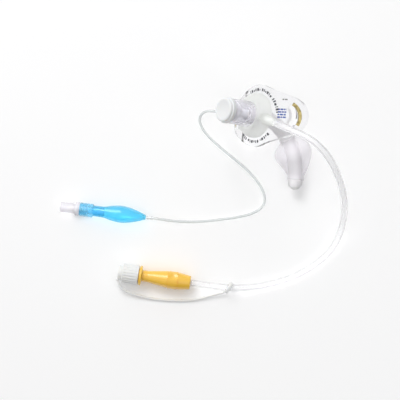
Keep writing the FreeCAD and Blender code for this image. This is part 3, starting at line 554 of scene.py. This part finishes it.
def ring_marks():
    """Plain dashes round the boss in groups of six, every third one short. Widths and gaps are in degrees."""
    pieces = []
    for start, end in MARK_ARCS:
        angle = start
        count = 0
        while angle < end:
            width = MARK_WIDTHS[count % len(MARK_WIDTHS)]
            tall = MARK_HEIGHT * (1.0 if count % 3 else MARK_SHORT)
            pieces.append((3, arc(MARK_FOOT_R, MARK_FOOT_R + tall, angle, angle + width)))
            count += 1
            angle += width + (MARK_GROUP_GAP if count % 6 == 0 else MARK_GAP)
    return pieces


DASH_GAP = 0.35


def field_rows(left, right, bottom, rows, pitch, height, lengths):
    """Rows of plain dashes, like the lines of a printed field."""
    pieces = []
    for row in range(rows):
        x = left
        count = row
        while x < right:
            stop = min(x + lengths[count % len(lengths)], right)
            pieces.append((1, dash(x, stop, bottom + row * pitch, bottom + row * pitch + height)))
            x = stop + DASH_GAP
            count += 1
    return pieces


FIELD = field_rows(left=16.2, right=21.2, bottom=-1.4, rows=4, pitch=1.6, height=0.95,
                   lengths=(1.6, 0.9, 2.0, 1.2))
SMALL_MARK = field_rows(left=18.4, right=21.4, bottom=9.6, rows=1, pitch=1.0, height=0.8, lengths=(1.0, 1.6))
printed("plate_marks", ring_marks(), print_dark, "black_rubber")
printed("plate_field", FIELD, print_blue, "blue_plastic")
printed("plate_mark_small", SMALL_MARK, print_grey, "black_rubber")

BAND_POINTS = ((24.6, 7.4), (29.2, 1.5), (28.2, -5.55))
BAND_WIDTH = 2.1


def circle_through(a, b, c):
    """The centre and radius of the circle through three points."""
    ax, ay = a
    bx, by = b
    cx, cy = c
    twice = 2 * (ax * (by - cy) + bx * (cy - ay) + cx * (ay - by))
    far_a = ax * ax + ay * ay
    far_b = bx * bx + by * by
    far_c = cx * cx + cy * cy
    x = (far_a * (by - cy) + far_b * (cy - ay) + far_c * (ay - by)) / twice
    y = (far_a * (cx - bx) + far_b * (ax - cx) + far_c * (bx - ax)) / twice
    return (x, y), math.hypot(ax - x, ay - y)


def band(side):
    """The coloured band outside a strap slot, as an arc of even width."""
    centre, radius = circle_through(*BAND_POINTS)
    ends = (BAND_POINTS[2], BAND_POINTS[0])
    start, end = (math.degrees(math.atan2(y - centre[1], x - centre[0])) for x, y in ends)
    right = arc(radius - BAND_WIDTH / 2, radius + BAND_WIDTH / 2, start, end, centre)

    def spot(along, across):
        x, y = right(along, across)
        return side * x, y
    return spot


printed("band_right", [(24, band(1))], amber, "orange_plastic")
printed("band_left", [(24, band(-1))], amber, "orange_plastic")


# Films, which cast no shadow
AROUND = 96


def smooth_height(stations, share):
    """The height at a share of the way, on a smooth curve through the stations."""
    last = len(stations) - 1
    i = 0
    while i < last - 1 and share > stations[i + 1][0]:
        i += 1
    slopes = []
    for k in (i, i + 1):
        if k in (0, last):
            slopes.append(0.0)
        else:
            before, after = stations[k - 1], stations[k + 1]
            slopes.append((after[1] - before[1]) / (after[0] - before[0]))
    (x0, y0), (x1, y1) = stations[i], stations[i + 1]
    span = x1 - x0
    t = min(max((share - x0) / span, 0.0), 1.0)
    return (y0 * (1 + 2 * t) * (1 - t) ** 2 + slopes[0] * span * t * (1 - t) ** 2
            + y1 * t * t * (3 - 2 * t) - slopes[1] * span * t * t * (1 - t))


def film(name, steps, spot, wall, finish, slot):
    """A thin skin with a wall: a circle spun straight up to a unit tube, and set out by spot."""
    built = bmesh.new()
    bmesh.ops.create_circle(built, segments=AROUND, radius=1.0)
    bmesh.ops.spin(built, geom=built.verts[:] + built.edges[:], cent=(0, 0, 0), axis=(0, 0, 1), angle=0.0,
                   dvec=(0, 0, 1.0 / steps), steps=steps, use_merge=False)
    bmesh.ops.recalc_face_normals(built, faces=built.faces)
    built.faces.ensure_lookup_table()
    first = built.faces[0]
    outward = first.calc_center_median() * Vector((1, 1, 0))
    if first.normal.dot(outward) < 0:
        bmesh.ops.reverse_faces(built, faces=built.faces)
    for vert in built.verts:
        vert.co = spot(min(max(vert.co.z, 0.0), 1.0), math.atan2(vert.co.y, vert.co.x))
    skin = dress(walled(object_from(name, built), wall), finish, slot)
    skin.visible_shadow = False
    return skin


# The cuff on the bent cannula
BEND_R = 36.0
CANNULA_DROP = 1.5
CUFF_START = math.radians(44.0)
CUFF_COLLAR = 2.2
CUFF_COLLAR_R = 5.15
COLLAR_EDGE_RUN = 0.4
COLLAR_EDGE_DROP = 0.18
CUFF_LENGTH = 24.5
CUFF_R = 11.8
CUFF_FOLDS = 13
CUFF_FOLD_DEPTH = 0.75
CUFF_SLACK = 0.22
CUFF_STEPS = 74
CUFF_STATIONS = [(0.0, 0.0), (0.08, 0.30), (0.20, 0.78), (0.36, 1.0), (0.52, 0.90), (0.68, 0.62),
                 (0.84, 0.30), (0.95, 0.07), (1.0, 0.0)]
CUFF_WALL = 0.00022


def bend_spot(turn, angle, radius):
    """A point round the bent cannula's centreline, in world metres."""
    middle = Vector((0, -BEND_R * (1 - math.cos(turn)), -CANNULA_DROP - BEND_R * math.sin(turn)))
    outside = Vector((0, math.cos(turn), -math.sin(turn)))
    across = Vector((1, 0, 0))
    return HEAD @ ((middle + (across * math.cos(angle) + outside * math.sin(angle)) * radius) * MM)


def cuff_radius(run, angle):
    """The film's outer radius: two collars, and the balloon with its folds gathered towards them."""
    share = (run - CUFF_COLLAR) / CUFF_LENGTH
    if share <= 0 or share >= 1:
        edge = min(run, 2 * CUFF_COLLAR + CUFF_LENGTH - run)
        return CUFF_COLLAR_R - COLLAR_EDGE_DROP * max(0.0, 1 - edge / COLLAR_EDGE_RUN) ** 2
    height = smooth_height(CUFF_STATIONS, share)
    gather = max(1 - height, 0.0) ** 0.9 * min(1.0, height / 0.12)
    fold = 0.5 - 0.5 * math.cos(CUFF_FOLDS * angle + 1.4 * math.sin(3 * angle + 6 * share))
    slack = 0.5 - 0.5 * math.cos(3 * angle + 1.1 + 2.2 * share)
    full = CUFF_COLLAR_R + height * (CUFF_R - CUFF_COLLAR_R)
    return full - CUFF_FOLD_DEPTH * gather * fold - CUFF_SLACK * height * slack


def cuff_spot(share, angle):
    """A point on the cuff's film, in world metres."""
    run = (2 * CUFF_COLLAR + CUFF_LENGTH) * share
    return bend_spot(CUFF_START + run / BEND_R, angle, cuff_radius(run, angle))


cuff_film = film("cuff_film", CUFF_STEPS, cuff_spot, CUFF_WALL, milky, "milky_film")
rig.replaces(cuff_film, "cuff")

# The pilot balloon
PILOT_MOUTH = Vector((-128.6, -42.0, 3.994))
PILOT_HEADING = math.radians(-7.2)
PILOT_SLOPE = math.radians(1.795)
BALLOON_START = 20.95
BALLOON_L = 33.6
BALLOON_R = 5.2
BALLOON_END_R = 1.6
BALLOON_WALL = 0.00026
BALLOON_FOLDS = 8
BALLOON_FOLD_DEPTH = 0.42
BALLOON_INSET = 0.10
WELD_HEIGHT = 0.30
WELD_WIDTH = 0.012
BALLOON_STEPS = 90
BALLOON_STATIONS = [(0.0, 0.51), (0.2, 0.56), (0.34, 0.80), (0.52, 1.0), (0.68, 0.84), (0.83, 0.46),
                    (0.94, 0.10), (1.0, 0.0)]


def pilot_matrix():
    """The pilot balloon's frame as in the CAD: Z from the luer mouth to the line, X up."""
    way = Vector((math.cos(PILOT_HEADING) * math.cos(PILOT_SLOPE),
                  math.sin(PILOT_HEADING) * math.cos(PILOT_SLOPE), math.sin(PILOT_SLOPE)))
    side = way.cross(Vector((0, 0, 1))).normalized()
    return Matrix.Translation(PILOT_MOUTH * MM) @ Matrix((side.cross(way), side, way)).transposed().to_4x4()


PILOT = pilot_matrix()


def balloon_radius(share, angle):
    """The pilot film's outer radius, with a weld along each side and folds towards the ends."""
    height = smooth_height(BALLOON_STATIONS, share)
    radius = BALLOON_END_R + height * (BALLOON_R - BALLOON_END_R)
    free = min(max((share - 0.22) / 0.12, 0.0), 1.0)
    gather = free * max(1 - height, 0.0) ** 0.8 * min(1.0, (1 - share) / 0.06)
    fold = 0.5 - 0.5 * math.cos(BALLOON_FOLDS * angle + 1.2 * math.sin(2 * angle))
    weld = math.exp(-((abs(math.sin(angle)) - 1) / WELD_WIDTH) ** 2) * free * min(1.0, (1 - share) / 0.08)
    return radius - BALLOON_FOLD_DEPTH * gather * fold - BALLOON_INSET * free + WELD_HEIGHT * weld


def balloon_spot(share, angle):
    """A point on the pilot balloon's film, in world metres."""
    radius = balloon_radius(share, angle)
    place = Vector((radius * math.cos(angle), radius * math.sin(angle), BALLOON_START + share * BALLOON_L))
    return PILOT @ (place * MM)


pilot_film = film("pilot_film", BALLOON_STEPS, balloon_spot, BALLOON_WALL, film_blue, "blue_film")
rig.replaces(pilot_film, "pilot_balloon")

# The valve's spring, which shortens towards the web as the plunger goes in
SPRING_FRONT = 10.65
SPRING_BACK = 16.40
SPRING_WIRE_R = 0.18
SPRING_GUIDE_R = 1.76
SPRING_TURNS = 4
SPRING_STEPS = 12
PLUNGER_TRAVEL = 1.2


def coil_route():
    """Guide points of the coil, from the plunger's head to the web. The spline runs just inside them."""
    route = []
    count = SPRING_TURNS * SPRING_STEPS
    first = SPRING_FRONT + SPRING_WIRE_R
    last = SPRING_BACK - SPRING_WIRE_R
    for step in range(count + 1):
        angle = 2 * math.pi * step / SPRING_STEPS
        place = Vector((SPRING_GUIDE_R * math.cos(angle), SPRING_GUIDE_R * math.sin(angle),
                        first + (last - first) * step / count))
        route.append((PILOT @ (place * MM)) / MM)
    return route


coil = dress(swept("coil_spring", coil_route(), SPRING_WIRE_R * MM), steel, "spring_steel")
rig.replaces(coil, "valve_spring")
spring_length = SPRING_BACK - SPRING_FRONT
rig.squash(coil, "valve_plunger_slide", axis=tuple(PILOT.to_3x3() @ Vector((0, 0, 1))),
          anchor=tuple(PILOT @ Vector((0, 0, SPRING_BACK * MM))),
          keep=(spring_length - PLUNGER_TRAVEL) / spring_length)

# The cords and what is on them
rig.cord(suction_tube, exit=suction_points[0], length=0.226, diameter=0.0042, far_end="connector",
        stiffness="medium", lay="loose", path=suction_points,
        with_pieces=["suction_connector", "suction_cap", "tether_ring"])
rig.cord(inflation_tube, exit=inflation_points[0], length=0.185, diameter=0.0017, far_end="fitting",
        stiffness="limp", lay="loose", path=inflation_points,
        with_pieces=["balloon_neck", pilot_film, "valve_body", "luer_inlet", "valve_plunger", "valve_seal",
                     coil])
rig.cord(tether, exit=tether_points[-1], length=0.0728, diameter=0.0015, far_end="object", stiffness="limp",
        lay="loose", path=tether_points[::-1])

# Floor, lights and world
FLOOR_HALF = 1.5
FLOOR_DROP = 0.00002
FLOOR_GLOW = 0.07
floor_mesh = bpy.data.meshes.new("floor")
floor_built = bmesh.new()
bmesh.ops.create_grid(floor_built, x_segments=1, y_segments=1, size=FLOOR_HALF)
floor_built.to_mesh(floor_mesh)
floor_built.free()
floor = new_object("floor", floor_mesh)
floor.location = (0, 0, -FLOOR_DROP)
floor_finish = bpy.data.materials.new("floor_white")
floor_finish.use_nodes = True
floor_shader = floor_finish.node_tree.nodes["Principled BSDF"]
floor_shader.inputs["Base Color"].default_value = (0.92, 0.92, 0.92, 1.0)
floor_shader.inputs["Roughness"].default_value = 0.9
floor_shader.inputs["Emission Color"].default_value = (1, 1, 1, 1)
floor_shader.inputs["Emission Strength"].default_value = FLOOR_GLOW
floor_mesh.materials.append(floor_finish)
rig.stage(floor)


def area_light(name, place, aim, side, power):
    """A square light with its side in metres and its power in watts, turned to its aim."""
    data = bpy.data.lights.new(name, "AREA")
    data.shape = "SQUARE"
    data.size = side
    data.energy = power
    lamp = bpy.data.objects.new(name, data)
    lamp.location = place
    lamp.rotation_euler = (Vector(aim) - Vector(place)).to_track_quat("-Z", "Y").to_euler()
    scene.collection.objects.link(lamp)


LIT_SPOT = (-0.04, -0.04, 0)
area_light("key", (-0.35, 0.55, 0.80), LIT_SPOT, side=0.5, power=3.9)
area_light("fill", (0.45, -0.35, 0.75), LIT_SPOT, side=0.6, power=1.0)

# A world that is bright towards the key light and dark away from it
WORLD_STRENGTH = 0.9
BRIGHT_SIDE = (-0.45, 0.45, 0.77)
world = bpy.data.worlds.new("studio")
scene.world = world
world.use_nodes = True
world_nodes, world_links = world.node_tree.nodes, world.node_tree.links
ground = world_nodes["Background"]
ground.inputs["Strength"].default_value = WORLD_STRENGTH
where = world_nodes.new("ShaderNodeTexCoord")
toward = world_nodes.new("ShaderNodeVectorMath")
toward.operation = "DOT_PRODUCT"
toward.inputs[1].default_value = Vector(BRIGHT_SIDE).normalized()
world_links.new(where.outputs["Generated"], toward.inputs[0])
ramp = world_nodes.new("ShaderNodeValToRGB")
ramp.color_ramp.elements[0].position = 0.0
ramp.color_ramp.elements[0].color = (0.10, 0.10, 0.11, 1)
ramp.color_ramp.elements[1].position = 0.75
ramp.color_ramp.elements[1].color = (1, 1, 1, 1)
world_links.new(toward.outputs["Value"], ramp.inputs[0])
world_links.new(ramp.outputs["Color"], ground.inputs["Color"])

scene.view_settings.view_transform = "Standard"

with open("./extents.json", "w") as out:
    json.dump({"cad": [list(map(float, p)) for p in cad_box], "scene": [list(map(float, p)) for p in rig.bounds()]},
              out)
